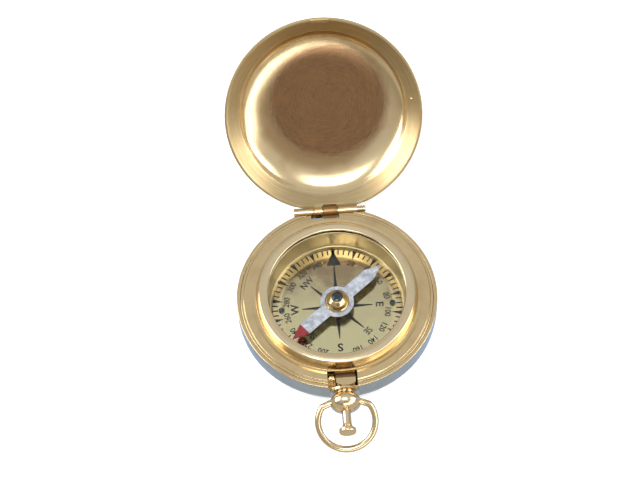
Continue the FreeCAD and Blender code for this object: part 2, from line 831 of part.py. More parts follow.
def make_button():
    shaft = y_bar("stem_shaft", "Size.stem_inner_end", "Size.stem_outer_end", "Size.stem_radius")
    shoulder = y_bar("stem_ring", "Size.chamber_outer + 0.55", "Size.chamber_outer + 0.05", "Size.stem_shoulder")
    node(fuse("button_stem_solid", shaft, shoulder), "button_stem")

    node(turned("button_knob", [
        ("0", "0"),
        ("Size.stem_radius", "0"),
        ("Size.head_radius", "Size.head_flare"),
        ("Size.head_radius", "Size.head_flare + Size.head_thick - 0.3"),
        ("Size.head_radius - 0.3", "Size.head_flare + Size.head_thick"),
        ("0", "Size.head_flare + Size.head_thick"),
    ], along_y(size("stem_outer_end"))), "button_head")

    # Flat-wire spring round the stem, from the chamber's inner end to the stem's shoulder.
    wire_width = 0.5
    wire_height = 0.3
    coil = (size("stem_radius") + size("chamber_radius")) / 2
    length = value("Size.chamber_inner - Size.chamber_outer - 0.6") - wire_height - 0.04
    path = Part.makeHelix(length / 3, length, coil)
    near = coil - wire_width / 2
    far = coil + wire_width / 2
    section = Part.makePolygon([
        Vector(near, 0, -wire_height / 2),
        Vector(far, 0, -wire_height / 2),
        Vector(far, 0, wire_height / 2),
        Vector(near, 0, wire_height / 2),
        Vector(near, 0, -wire_height / 2),
    ])
    spring = doc.addObject("Part::Feature", "spring_coil")
    spring.Shape = Part.Wire(path).makePipeShell([section], True, True)
    spring.Placement = along_y(size("chamber_inner") - wire_height / 2 - 0.02)
    node(spring, "button_spring")


def make_bow():
    radius = size("bow_radius")
    drop = size("bow_drop")
    end_x = math.sqrt(radius ** 2 - drop ** 2)
    end_angle = math.degrees(math.atan2(drop, end_x))
    pose = at(0, size("ball_y"), size("pendant_z"), (1, 0, 0), size("bow_tilt"))
    ring = primitive(
        "Torus", "bow_hoop", pose.multiply(at(0, -drop, 0, (0, 0, 1), 180 - end_angle)),
        Radius1="Size.bow_radius", Radius2="Size.bow_wire",
    )
    ring.Angle3 = 180 + 2 * end_angle
    pieces = [ring]
    for name, side in (("left", -1), ("right", 1)):
        pieces.append(primitive(
            "Sphere", "bow_elbow_" + name, pose.multiply(at(side * end_x, 0, 0)), Radius="Size.bow_wire",
        ))
        start = min(side * end_x, side * size("bow_pin_end"))
        bar = primitive("Cylinder", "bow_end_" + name, pose.multiply(at(start, 0, 0, *ALONG_X)), Radius="Size.bow_wire")
        bar.Height = end_x - size("bow_pin_end")
        pieces.append(bar)
    node(fuse("bow_ring_solid", *pieces), "bow_ring")


make_case_body()
make_rim_flange()
make_bezel()
make_capsule()
make_dial()
make_needle()
make_needle_stop()
make_lock_pin()
make_case_hinge()
make_lid()
make_lid_hinge()
make_lid_spring()
make_catch()
make_pendant()
make_button()
make_bow()
doc.recompute()

for item in doc.Objects:
    if "Invalid" in item.State or "Error" in item.State:
        raise RuntimeError("%s did not build" % item.Label)
for sub_part in NODES:
    if sub_part.Shape.isNull() or not sub_part.Shape.isValid():
        raise RuntimeError("%s has no valid shape" % sub_part.Label)

os.makedirs("parts", exist_ok=True)
for sub_part in NODES:
    sub_part.Shape.exportStep("parts/%s.step" % sub_part.Label)
    print("%-20s %9.2f mm3  solids %d" % (sub_part.Label, sub_part.Shape.Volume, len(sub_part.Shape.Solids)))
print("sub-parts:", len(NODES))
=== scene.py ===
import json
import math

import bmesh
import bpy
from mathutils import Matrix, Vector


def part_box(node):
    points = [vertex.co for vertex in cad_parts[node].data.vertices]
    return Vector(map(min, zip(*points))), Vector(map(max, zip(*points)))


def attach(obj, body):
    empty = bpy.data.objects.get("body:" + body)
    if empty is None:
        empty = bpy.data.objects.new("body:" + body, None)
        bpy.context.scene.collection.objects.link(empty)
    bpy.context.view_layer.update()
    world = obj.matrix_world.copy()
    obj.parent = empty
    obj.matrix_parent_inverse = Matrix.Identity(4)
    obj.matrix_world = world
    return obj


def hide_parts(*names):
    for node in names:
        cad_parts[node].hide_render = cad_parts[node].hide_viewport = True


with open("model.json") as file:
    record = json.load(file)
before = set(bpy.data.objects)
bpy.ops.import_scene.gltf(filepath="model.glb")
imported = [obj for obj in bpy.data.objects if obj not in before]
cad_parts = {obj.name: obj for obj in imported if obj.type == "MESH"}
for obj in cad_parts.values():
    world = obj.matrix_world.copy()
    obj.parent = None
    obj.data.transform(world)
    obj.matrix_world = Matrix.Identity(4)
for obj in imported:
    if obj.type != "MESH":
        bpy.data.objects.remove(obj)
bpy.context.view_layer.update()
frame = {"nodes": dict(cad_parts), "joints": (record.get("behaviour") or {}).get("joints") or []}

MM = 0.001
NODES = frame["nodes"]
JOINTS = {joint["name"]: joint for joint in frame["joints"]}

# ---------------------------------------------------------------- driving sizes in mm


def low(node):
    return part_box(node)[0] / MM


def high(node):
    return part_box(node)[1] / MM


CASE_R = high("case_body").x
RIM_Z = high("case_body").z
FLANGE_Z = high("rim_flange").z
BEZEL_R = high("bezel_ring").x
BEZEL_Z = high("bezel_ring").z
GLASS_LOW = low("glass_crystal").z
GLASS_TOP = high("glass_crystal").z
GLASS_R = high("glass_crystal").x
DIAL_TOP = high("dial_plate").z
WALL_TOP = high("capsule_wall").z
WALL_OUT = high("capsule_wall").x
NEEDLE_TOP = high("needle_blade").z
CAP_TOP = high("needle_cap").z
JEWEL_TOP = high("needle_jewel").z
HINGE = Vector(JOINTS["lid_hinge"]["pos_m"]) / MM
LID_OPEN = math.radians(JOINTS["lid_hinge"]["range_deg"][1])
BALL = Vector(JOINTS["bow_swing"]["pos_m"]) / MM
FLOOR_IN = low("capsule_wall").z
CASE_WALL = 1.0
BASE_ROUND = 6.0
CAPSULE_IN = 17.1
LID_SEAT = RIM_Z + 0.03
LID_DEPTH = 5.3
LID_CROWN = 13.0
LID_CROWN_RISE = 0.3
LID_WALL_FOOT = 2.3
LID_SHEET = 0.78
NEEDLE_BEARING = 51
SHARP_ANGLE = 40
SHARP_ANGLE_AFTER_CUTS = 24

# ---------------------------------------------------------------- mesh helpers


def filleted(corners, steps=7):
    """A section of (radius, height, fillet) corners, with each fillet as an arc of short steps."""
    points = []
    count = len(corners)
    for index, (r, z, fillet) in enumerate(corners):
        here = Vector((r, z))
        before = Vector(corners[index - 1][:2]) - here
        after = Vector(corners[(index + 1) % count][:2]) - here
        if fillet <= 0 or before.length < 1e-6 or after.length < 1e-6:
            points.append(here)
            continue
        turn = before.angle(after)
        back = min(fillet / math.tan(turn / 2), before.length * 0.49, after.length * 0.49)
        start = here + before.normalized() * back
        end = here + after.normalized() * back
        radius = back * math.tan(turn / 2)
        halfway = (before.normalized() + after.normalized()).normalized()
        centre = here + halfway * (radius / math.sin(turn / 2))
        first = start - centre
        sweep = first.angle_signed(end - centre)
        for step in range(steps + 1):
            arm = first.copy()
            arm.rotate(Matrix.Rotation(-sweep * step / steps, 2))
            points.append(centre + arm)
    return points


def finish_mesh(name, bm, material, place=Matrix.Identity(4), sharp=SHARP_ANGLE):
    """Turn a bmesh in mm into a smooth shaded object in metres."""
    bmesh.ops.recalc_face_normals(bm, faces=bm.faces)
    mesh = bpy.data.meshes.new(name)
    bm.to_mesh(mesh)
    bm.free()
    mesh.transform(Matrix.Scale(MM, 4))
    for face in mesh.polygons:
        face.use_smooth = True
    mesh.set_sharp_from_angle(angle=math.radians(sharp))
    mesh.materials.append(material)
    piece = bpy.data.objects.new(name, mesh)
    bpy.context.scene.collection.objects.link(piece)
    piece.matrix_world = place
    return piece


def lathe_mesh(points, segments=256):
    """Turn a closed section of (radius, height) points about Z."""
    bm = bmesh.new()
    rings = []
    for radius, height in points:
        if radius < 1e-5:
            rings.append([bm.verts.new((0, 0, height))])
            continue
        rings.append([
            bm.verts.new((
                radius * math.cos(math.tau * step / segments),
                radius * math.sin(math.tau * step / segments),
                height,
            ))
            for step in range(segments)
        ])
    for index, ring in enumerate(rings):
        other = rings[(index + 1) % len(rings)]
        if len(ring) == 1 and len(other) == 1:
            continue
        for step in range(segments):
            following = (step + 1) % segments
            if len(ring) == 1:
                bm.faces.new((ring[0], other[step], other[following]))
            elif len(other) == 1:
                bm.faces.new((ring[step], other[0], ring[following]))
            else:
                bm.faces.new((ring[step], other[step], other[following], ring[following]))
    return bm


def box_mesh(corner, opposite):
    """A box between two opposite corners."""
    bm = bmesh.new()
    bmesh.ops.create_cube(bm, size=1)
    centre = (Vector(corner) + Vector(opposite)) / 2
    span = Vector(opposite) - Vector(corner)
    bmesh.ops.scale(bm, vec=span, verts=bm.verts)
    bmesh.ops.translate(bm, vec=centre, verts=bm.verts)
    return bm


def weigh_normals(piece):
    """Let the large faces set the shading beside narrow fillets."""
    even = piece.modifiers.new("even_shading", "WEIGHTED_NORMAL")
    even.weight = 100
    even.keep_sharp = True


def turned(name, corners, material, place=Matrix.Identity(4), segments=256, cuts=()):
    """A turned piece with rounded corners, with boxes cut out of it."""
    piece = finish_mesh(name, lathe_mesh(filleted(corners), segments), material, place)
    for index, (corner, opposite) in enumerate(cuts):
        cutter = finish_mesh("cutter", box_mesh(corner, opposite), material, place)
        trim = piece.modifiers.new("cut%d" % index, "BOOLEAN")
        trim.operation = "DIFFERENCE"
        trim.solver = "EXACT"
        trim.object = cutter
        bpy.context.view_layer.update()
        graph = bpy.context.evaluated_depsgraph_get()
        carved = bpy.data.meshes.new_from_object(piece.evaluated_get(graph))
        piece.modifiers.clear()
        old = piece.data
        piece.data = carved
        bpy.data.meshes.remove(old)
        bpy.data.objects.remove(cutter)
    if cuts:
        for face in piece.data.polygons:
            face.use_smooth = True
        piece.data.set_sharp_from_angle(angle=math.radians(SHARP_ANGLE_AFTER_CUTS))
    weigh_normals(piece)
    return piece


# ---------------------------------------------------------------- materials


class Graph:
    """A short way to write a node material."""

    def __init__(self, name):
        self.material = bpy.data.materials.new(name)
        self.material.use_nodes = True
        self.tree = self.material.node_tree
        self.shader = self.tree.nodes["Principled BSDF"]

    def node(self, kind, **settings):
        made = self.tree.nodes.new(kind)
        for key, setting in settings.items():
            setattr(made, key, setting)
        return made

    def link(self, source, target):
        self.tree.links.new(source, target)

    def math(self, operation, first, second=None, clamp=False):
        made = self.node("ShaderNodeMath", operation=operation, use_clamp=clamp)
        for socket, given in zip(made.inputs, (first, second)):
            if given is None:
                continue
            if isinstance(given, (int, float)):
                socket.default_value = given
            else:
                self.link(given, socket)
        return made.outputs[0]

    def noise(self, vector, scale, detail=4.0, roughness=0.6):
        made = self.node("ShaderNodeTexNoise")
        made.inputs["Scale"].default_value = scale
        made.inputs["Detail"].default_value = detail
        made.inputs["Roughness"].default_value = roughness
        self.link(vector, made.inputs["Vector"])
        return made.outputs["Fac"]

    def ramp(self, factor, *stops):
        made = self.node("ShaderNodeValToRGB")
        elements = made.color_ramp.elements
        while len(elements) < len(stops):
            elements.new(0.5)
        for element, (position, colour) in zip(elements, stops):
            element.position = position
            element.color = colour if len(colour) == 4 else (*colour, 1.0)
        self.link(factor, made.inputs["Fac"])
        return made.outputs["Color"]

    def grey(self, factor, *stops):
        return self.ramp(factor, *[(position, (level, level, level)) for position, level in stops])

    def mix(self, factor, first, second):
        made = self.node("ShaderNodeMix", data_type="RGBA")
        sockets = (made.inputs[0], made.inputs[6], made.inputs[7])
        for socket, given in zip(sockets, (factor, first, second)):
            if isinstance(given, (int, float)):
                socket.default_value = given
            elif isinstance(given, tuple):
                socket.default_value = (*given, 1.0) if len(given) == 3 else given
            else:
                self.link(given, socket)
        return made.outputs[2]

    def split(self, vector):
        """The X, Y and Z outputs of a vector."""
        made = self.node("ShaderNodeSeparateXYZ")
        self.link(vector, made.inputs[0])
        return made.outputs["X"], made.outputs["Y"], made.outputs["Z"]

    def coordinates(self):
        """Object coordinates in mm, so a piece stored open is measured as it was made."""
        source = self.node("ShaderNodeTexCoord").outputs["Object"]
        scaled = self.node("ShaderNodeVectorMath", operation="SCALE")
        scaled.inputs["Scale"].default_value = 1 / MM
        self.link(source, scaled.inputs[0])
        return scaled.outputs[0]

    def bump(self, height, strength, distance=0.00002):
        made = self.node("ShaderNodeBump")
        made.inputs["Strength"].default_value = strength
        made.inputs["Distance"].default_value = distance
        self.link(height, made.inputs["Height"])
        self.link(made.outputs["Normal"], self.shader.inputs["Normal"])


def polar(graph, place, rings, around, centre=(0.0, 0.0)):
    """A vector that runs quickly with the radius and slowly round the axis, and the radius itself."""
    along_x, along_y, _ = graph.split(place)
    x = graph.math("SUBTRACT", along_x, centre[0])
    y = graph.math("SUBTRACT", along_y, centre[1])
    squares = graph.math("ADD", graph.math("MULTIPLY", x, x), graph.math("MULTIPLY", y, y))
    radius = graph.math("SQRT", squares)
    safe = graph.math("MAXIMUM", radius, 0.01)
    joined = graph.node("ShaderNodeCombineXYZ")
    graph.link(graph.math("MULTIPLY", radius, rings), joined.inputs["X"])
    graph.link(graph.math("MULTIPLY", graph.math("DIVIDE", x, safe), around), joined.inputs["Y"])
    graph.link(graph.math("MULTIPLY", graph.math("DIVIDE", y, safe), around), joined.inputs["Z"])
    return joined.outputs[0], radius


def brass(name, colour, tarnish, rough, turned_marks=True, stain=0.35, rings=9.0):
    """Polished brass: colour drifts with handling stains, roughness follows the turning marks."""
    graph = Graph(name)
    place = graph.coordinates()
    if turned_marks:
        sweep, _ = polar(graph, place, rings, 1.2)
        lines = graph.noise(sweep, 1.0, 6.0, 0.75)
    else:
        stretch = graph.node("ShaderNodeVectorMath", operation="MULTIPLY")
        stretch.inputs[1].default_value = (0.6, 3.0, 3.0)
        graph.link(place, stretch.inputs[0])
        lines = graph.noise(stretch.outputs[0], 2.0, 6.0, 0.75)
    cloud = graph.noise(place, 0.16, 5.0, 0.6)
    speck = graph.noise(place, 2.4, 4.0, 0.7)
    soiled = graph.grey(cloud, (0.42, 0.0), (0.72, stain))
    spots = graph.grey(speck, (0.62, 0.0), (0.74, stain * 0.8))
    dirt = graph.math("MAXIMUM", soiled, spots)
    darker = tuple(channel * 0.88 for channel in colour)
    shade = graph.mix(graph.grey(lines, (0.3, 0.0), (0.7, 0.28)), colour, darker)
    graph.link(graph.mix(dirt, shade, tarnish), graph.shader.inputs["Base Color"])
    level = graph.math("MULTIPLY", lines, rough[1] - rough[0])
    level = graph.math("ADD", level, rough[0])
    level = graph.math("ADD", level, graph.math("MULTIPLY", dirt, 0.25), clamp=True)
    graph.link(level, graph.shader.inputs["Roughness"])
    graph.shader.inputs["Metallic"].default_value = 1.0
    fine = graph.noise(place, 0.9, 3.0, 0.5)
    height = graph.math("ADD", graph.math("MULTIPLY", lines, 0.35), graph.math("MULTIPLY", fine, 0.65))
    graph.bump(height, 0.25, 0.00005)
    return graph.material


GOLD = (0.66, 0.50, 0.27)
PALE_GOLD = (0.72, 0.58, 0.36)
WARM = (0.56, 0.38, 0.19)
BROWN = (0.36, 0.21, 0.09)
OLIVE = (0.42, 0.35, 0.19)

CASE_BRASS = brass("case_brass", GOLD, BROWN, (0.10, 0.24), stain=0.3)
RIM_BRASS = brass("rim_brass", GOLD, BROWN, (0.10, 0.26), stain=0.35, rings=14.0)
BEZEL_BRASS = brass("bezel_brass", PALE_GOLD, WARM, (0.08, 0.2), stain=0.25, rings=10.0)
WALL_BRASS = brass("wall_brass", (0.58, 0.49, 0.30), OLIVE, (0.3, 0.46), stain=0.4)
CAP_BRASS = brass("cap_brass", GOLD, WARM, (0.07, 0.18), stain=0.2)
INNER_BRASS = brass("inner_brass", (0.5, 0.34, 0.15), BROWN, (0.3, 0.5), False, stain=0.5)
PENDANT_BRASS = brass("pendant_brass", PALE_GOLD, WARM, (0.08, 0.22), False, stain=0.3)
BOW_BRASS = brass("bow_brass", PALE_GOLD, WARM, (0.1, 0.26), False, stain=0.35)
HINGE_BRASS = brass("hinge_brass", PALE_GOLD, BROWN, (0.14, 0.3), False, stain=0.4)
DARK_BRASS = brass("dark_brass", (0.30, 0.17, 0.07), (0.10, 0.05, 0.03), (0.25, 0.45), False, stain=0.6)


def lid_brass():
    """The lid in rings: brushed flange, bright wall, and on the inside a brown crown of tarnish and
    painted reflection, with painted shade by the hinge notch.
    """
    graph = Graph("lid_brass")
    place = graph.coordinates()
    _, along_y, _ = graph.split(place)
    sweep, radius = polar(graph, place, 7.0, 2.0)
    lines = graph.noise(sweep, 1.0, 6.0, 0.75)
    swirl, patch_radius = polar(graph, place, 2.2, 3.0, (1.4, -2.6))
    strokes = graph.noise(swirl, 1.6, 8.0, 0.85)
    speck = graph.noise(place, 3.2, 4.0, 0.75)
    cloud = graph.noise(place, 0.14, 5.0, 0.6)
    ragged = graph.math("MULTIPLY", graph.math("SUBTRACT", strokes, 0.5), 3.5)
    reach = graph.math("MULTIPLY", graph.math("ADD", patch_radius, ragged), 0.04)
    facing = graph.node(
        "ShaderNodeVectorTransform", vector_type="NORMAL", convert_from="WORLD", convert_to="OBJECT",
    )
    graph.link(graph.node("ShaderNodeNewGeometry").outputs["True Normal"], facing.inputs[0])
    _, _, outward_z = graph.split(facing.outputs[0])
    inside = graph.math("LESS_THAN", outward_z, 0.0)
    # Tarnish and painted reflection: a dark brown patch on the inside faces of the crown, centred off
    # the axis, stands partly for a reflected brown room.
    tarnish_and_reflection = graph.math("MULTIPLY", graph.grey(reach, (0.55, 1.0), (0.65, 0.0)), inside)
    tarnish_and_reflection = graph.math("MULTIPLY", tarnish_and_reflection, graph.grey(strokes, (0.3, 0.72), (0.7, 1.0)))
    flange = graph.grey(graph.math("MULTIPLY", radius, 0.04), (0.842, 0.0), (0.862, 1.0))
    between = graph.grey(lines, (0.3, 0.0), (0.7, 1.0))
    wall = graph.mix(between, PALE_GOLD, GOLD)
    brushed = graph.mix(between, (0.52, 0.40, 0.22), (0.30, 0.22, 0.11))
    shade = graph.mix(flange, wall, brushed)
    buffed = graph.grey(strokes, (0.40, 0.0), (0.60, 1.0))
    # Colour of the crown patch: tarnish and painted reflection.
    crown = graph.mix(buffed, (0.08, 0.03, 0.014), (0.33, 0.165, 0.075))
    shade = graph.mix(tarnish_and_reflection, shade, crown)
    spots = graph.grey(speck, (0.66, 0.0), (0.72, 0.55))
    # Painted shade: the lid beside the hinge notch is darkened to olive and made rougher.
    hinge_notch_shade = graph.math("GREATER_THAN", along_y, HINGE.y - 1.5)
    shade = graph.mix(spots, shade, (0.72, 0.52, 0.28))
    shade = graph.mix(graph.grey(cloud, (0.46, 0.0), (0.75, 0.35)), shade, BROWN)
    shade = graph.mix(hinge_notch_shade, shade, OLIVE)
    graph.link(shade, graph.shader.inputs["Base Color"])
    level = graph.math("ADD", graph.math("MULTIPLY", lines, 0.14), 0.13)
    level = graph.math("ADD", level, graph.math("MULTIPLY", flange, 0.16))
    level = graph.math("ADD", level, graph.math("MULTIPLY", tarnish_and_reflection, 0.10))
    level = graph.math("ADD", level, graph.math("MULTIPLY", hinge_notch_shade, 0.2), clamp=True)
    graph.link(level, graph.shader.inputs["Roughness"])
    graph.shader.inputs["Metallic"].default_value = 1.0
    relief = graph.math("ADD", graph.math("MULTIPLY", lines, 0.5), graph.math("MULTIPLY", strokes, 0.5))
    graph.bump(relief, 0.3, 0.00005)
    return graph.material


def dial_brass():
    """The dial plate: olive-yellow lacquered brass with a drifting tone, and painted shade that makes
    it browner towards north.
    """
    graph = Graph("dial_brass")
    place = graph.coordinates()
    _, along_y, _ = graph.split(place)
    _, radius = polar(graph, place, 1.0, 1.0)
    cloud = graph.noise(place, 0.13, 5.0, 0.6)
    speck = graph.noise(place, 2.6, 4.0, 0.7)
    drift = graph.math("MULTIPLY", graph.math("SUBTRACT", cloud, 0.5), 0.9)
    # Painted shade: the dial darkens to brown towards north (+Y), on top of the random drift.
    northward_shade = graph.math("ADD", graph.math("MULTIPLY", along_y, 0.03), 0.42)
    shade = graph.ramp(
        graph.math("ADD", northward_shade, drift),
        (0.30, (0.66, 0.58, 0.34)),
        (0.55, (0.56, 0.47, 0.28)),
        (0.80, (0.34, 0.25, 0.15)),
    )
    border = graph.grey(graph.math("MULTIPLY", radius, 0.05), (0.70, 0.0), (0.715, 1.0))
    shade = graph.mix(border, shade, (0.72, 0.58, 0.34))
    shade = graph.mix(graph.grey(speck, (0.62, 0.0), (0.75, 0.35)), shade, OLIVE)
    graph.link(shade, graph.shader.inputs["Base Color"])
    graph.link(graph.grey(cloud, (0.3, 0.10), (0.7, 0.20)), graph.shader.inputs["Roughness"])
    graph.shader.inputs["Metallic"].default_value = 1.0
    graph.bump(speck, 0.12, 0.00003)
    return graph.material


def painted_bar():
    """Silver paint on the needle, mottled, with one red tip."""
    graph = Graph("needle_paint")
    place = graph.coordinates()
    heading = math.radians(90 - NEEDLE_BEARING)
    along = graph.node("ShaderNodeVectorMath", operation="DOT_PRODUCT")
    along.inputs[1].default_value = (math.cos(heading), math.sin(heading), 0)
    graph.link(place, along.inputs[0])
    tip = graph.math("LESS_THAN", along.outputs["Value"], -11.0)
    patch = graph.noise(place, 0.8, 5.0, 0.7)
    silver = graph.ramp(
        patch,
        (0.32, (0.24, 0.26, 0.32)),
        (0.5, (0.42, 0.44, 0.50)),
        (0.68, (0.66, 0.68, 0.74)),
    )
    red = graph.ramp(patch, (0.3, (0.20, 0.01, 0.015)), (0.7, (0.42, 0.04, 0.05)))
    graph.link(graph.mix(tip, silver, red), graph.shader.inputs["Base Color"])
    graph.link(graph.grey(patch, (0.3, 0.45), (0.7, 0.3)), graph.shader.inputs["Roughness"])
    graph.shader.inputs["Metallic"].default_value = 0.25
    graph.bump(graph.noise(place, 5.0, 4.0, 0.7), 0.3, 0.00004)
    return graph.material


def plain(name, colour, second, rough, metallic=0.0, scale=1.5, bump=0.15):
    """An even material whose colour and roughness drift between two values."""
    graph = Graph(name)
    place = graph.coordinates()
    cloud = graph.noise(place, scale, 5.0, 0.65)
    shade = graph.mix(graph.grey(cloud, (0.35, 0.0), (0.7, 1.0)), colour, second)
    graph.link(shade, graph.shader.inputs["Base Color"])
    graph.link(graph.grey(cloud, (0.3, rough[0]), (0.75, rough[1])), graph.shader.inputs["Roughness"])
    graph.shader.inputs["Metallic"].default_value = metallic
    if bump:
        graph.bump(cloud, bump, 0.00003)
    return graph.material


LID_BRASS = lid_brass()
DIAL_BRASS = dial_brass()
NEEDLE_PAINT = painted_bar()
INK = plain("dial_ink", (0.012, 0.011, 0.012), (0.03, 0.028, 0.03), (0.4, 0.6))
STEEL = plain("inner_steel", (0.5, 0.5, 0.52), (0.36, 0.36, 0.38), (0.25, 0.4), 1.0)
SCREW = plain("dark_screw", (0.03, 0.05, 0.04), (0.08, 0.10, 0.08), (0.2, 0.4), 0.6)
JEWEL = plain("jewel", (0.008, 0.014, 0.022), (0.016, 0.026, 0.04), (0.12, 0.2), scale=0.8, bump=0.0)


def crystal_glass():
    """Clear glass with faint smears; a low index stands in for its thinness."""
    graph = Graph("crystal")
    place = graph.coordinates()
    smear = graph.noise(place, 0.25, 5.0, 0.7)
    graph.link(graph.grey(smear, (0.45, 0.0), (0.8, 0.05)), graph.shader.inputs["Roughness"])
    graph.shader.inputs["Base Color"].default_value = (0.99, 1.0, 0.99, 1)
    graph.shader.inputs["Transmission Weight"].default_value = 1.0
    graph.shader.inputs["IOR"].default_value = 1.1
    return graph.material


GLASS = crystal_glass()

# ---------------------------------------------------------------- case, flange, bezel, capsule
ABOVE = FLANGE_Z + 3
SEAT_LEFT = low("hinge_pin").x - 0.4
SEAT_RIGHT = high("hinge_pin").x + 0.4
RIM_CUTS = (
    ((-3.95, -24.7, 7.2), (3.4, -20.5, ABOVE)),
    ((SEAT_LEFT, 23.4, 7.55), (SEAT_RIGHT, 27, ABOVE)),
    ((-4.9, 22.1, 6.2), (2.2, 27, ABOVE)),
)
INNER_R = CASE_R - CASE_WALL

case_shell = turned("case_shell", [
    (0, 0, 0),
    (CASE_R, 0, BASE_ROUND),
    (CASE_R, RIM_Z, 0.18),
    (INNER_R + 0.04, RIM_Z, 0.15),
    (INNER_R + 0.04, FLOOR_IN, BASE_ROUND - FLOOR_IN),
    (0, FLOOR_IN, 0),
], CASE_BRASS, cuts=RIM_CUTS)
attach(case_shell, "case")
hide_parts("case_body")

flange = turned("flange_turned", [
    (WALL_OUT, FLANGE_Z - 1.25, 0),
    (INNER_R, FLANGE_Z - 1.25, 0),
    (INNER_R, RIM_Z + 0.02, 0.15),
    (23.35, RIM_Z - 0.02, 0.06),
    (23.2, FLANGE_Z - 0.06, 0.12),
    (21.6, FLANGE_Z, 0.8),
    (20.9, FLANGE_Z - 0.14, 0.6),
    (20.4, FLANGE_Z - 0.10, 0.2),
    (WALL_OUT, FLANGE_Z - 0.02, 0),
], RIM_BRASS, cuts=RIM_CUTS)
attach(flange, "case")
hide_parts("rim_flange")

bezel = turned("bezel_turned", [
    (WALL_OUT, FLANGE_Z, 0),
    (BEZEL_R, FLANGE_Z, 0.1),
    (BEZEL_R - 0.05, FLANGE_Z + 0.5, 0.4),
    (BEZEL_R - 0.85, BEZEL_Z - 0.22, 0.45),
    (BEZEL_R - 1.9, BEZEL_Z, 0.6),
    (CAPSULE_IN, BEZEL_Z - 0.25, 0.25),
    (CAPSULE_IN, GLASS_TOP + 0.02, 0),
    (WALL_OUT, GLASS_TOP + 0.02, 0),
], BEZEL_BRASS)
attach(bezel, "case")
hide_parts("bezel_ring")

capsule = turned("capsule_turned", [
    (CAPSULE_IN, FLOOR_IN, 0),
    (WALL_OUT - 0.02, FLOOR_IN, 0),
    (WALL_OUT - 0.02, WALL_TOP, 0),
    (CAPSULE_IN, WALL_TOP, 0.2),
], WALL_BRASS)
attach(capsule, "case")
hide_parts("capsule_wall")

glass = turned("glass_pane", [
    (0, GLASS_LOW, 0),
    (GLASS_R - 0.03, GLASS_LOW, 0.1),
    (GLASS_R - 0.03, GLASS_TOP, 0.1),
    (0, GLASS_TOP, 0),
], GLASS)
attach(glass, "case")
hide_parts("glass_crystal")

keeper = turned("dial_keeper", [
    (16.3, DIAL_TOP, 0.05),
    (17.09, DIAL_TOP, 0),
    (17.09, DIAL_TOP + 1.1, 0.1),
    (16.65, DIAL_TOP + 1.1, 0.25),
], WALL_BRASS)
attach(keeper, "case")
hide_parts("dial_retaining_ring")

# ---------------------------------------------------------------- dial print
INK_Z = DIAL_TOP
INK_HEIGHT = 0.012


def bearing(degrees, radius):
    """A point in plan at a compass bearing, north towards the hinge."""
    angle = math.radians(90 - degrees)
    return Vector((radius * math.cos(angle), radius * math.sin(angle)))


def ink_polygon(bm, outline):
    """A thin printed area from a plan outline."""
    lower = [bm.verts.new((p.x, p.y, INK_Z)) for p in outline]
    upper = [bm.verts.new((p.x, p.y, INK_Z + INK_HEIGHT)) for p in outline]
    bm.faces.new(upper)
    bm.faces.new(list(reversed(lower)))
    for index in range(len(outline)):
        following = (index + 1) % len(outline)
        bm.faces.new((lower[index], lower[following], upper[following], upper[index]))


def mark(bm, degrees, inner, outer, inner_width, outer_width):
    """A tapered printed line along a bearing."""
    along = bearing(degrees, 1.0)
    across = Vector((along.y, -along.x))
    ink_polygon(bm, [
        along * inner - across * inner_width / 2,
        along * outer - across * outer_width / 2,
        along * outer + across * outer_width / 2,
        along * inner + across * inner_width / 2,
    ])


SCALE_OUT = 16.25
ARROW_FOOT = bearing(0, 11.8)
ARROW_HALF = Vector((1.85, 0))
DASH_OUT = 13.5
DASH_IN = 13.15
ticks = bmesh.new()
for degrees in range(0, 360, 5):
    if degrees % 20 == 0:
        mark(ticks, degrees, SCALE_OUT - 2.3, SCALE_OUT, 0.12, 1.05)
    else:
        mark(ticks, degrees, SCALE_OUT - 1.35, SCALE_OUT, 0.34, 0.34)
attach(finish_mesh("scale_ticks", ticks, INK), "case")

rose = bmesh.new()
for degrees in range(0, 360, 45):
    reach = 11.9 if degrees == 0 else 8.9
    mark(rose, degrees, 1.9, reach, 1.25, 0.24)
ink_polygon(rose, [bearing(0, 16.1), ARROW_FOOT + ARROW_HALF, ARROW_FOOT - ARROW_HALF])
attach(finish_mesh("compass_rose", rose, INK), "case")

dash = bmesh.new()
ink_polygon(dash, [
    Vector((-0.9, -DASH_IN)),
    Vector((0.9, -DASH_IN)),
    Vector((0.9, -DASH_OUT)),
    Vector((-0.9, -DASH_OUT)),
])
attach(finish_mesh("south_dash", dash, INK), "case")

band = turned("scale_circle", [
    (SCALE_OUT, INK_Z, 0),
    (SCALE_OUT + 0.14, INK_Z, 0),
    (SCALE_OUT + 0.14, INK_Z + INK_HEIGHT, 0),
    (SCALE_OUT, INK_Z + INK_HEIGHT, 0),
], INK)
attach(band, "case")


def lettering(name, text, degrees, radius, height, weight=0.0, squeeze=1.0):
    """Printed characters whose tops point outward."""
    curve = bpy.data.curves.new(name, "FONT")
    curve.body = text
    curve.align_x = "CENTER"
    curve.align_y = "CENTER"
    curve.size = height * 1.38
    curve.offset = weight
    curve.extrude = INK_HEIGHT / 2
    curve.resolution_u = 4
    holder = bpy.data.objects.new(name, curve)
    bpy.context.scene.collection.objects.link(holder)
    bpy.context.view_layer.update()
    graph = bpy.context.evaluated_depsgraph_get()
    mesh = bpy.data.meshes.new_from_object(holder.evaluated_get(graph))
    bpy.data.objects.remove(holder)
    bpy.data.curves.remove(curve)
    spot = bearing(degrees, radius)
    turn = Matrix.Rotation(math.radians(-degrees), 4, "Z")
    lift = Matrix.Translation((spot.x, spot.y, INK_Z + INK_HEIGHT / 2))
    mesh.transform(Matrix.Scale(MM, 4) @ lift @ turn @ Matrix.Diagonal((squeeze, 1, 1, 1)))
    mesh.materials.clear()
    mesh.materials.append(INK)
    letters = bpy.data.objects.new(name, mesh)
    bpy.context.scene.collection.objects.link(letters)
    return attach(letters, "case")


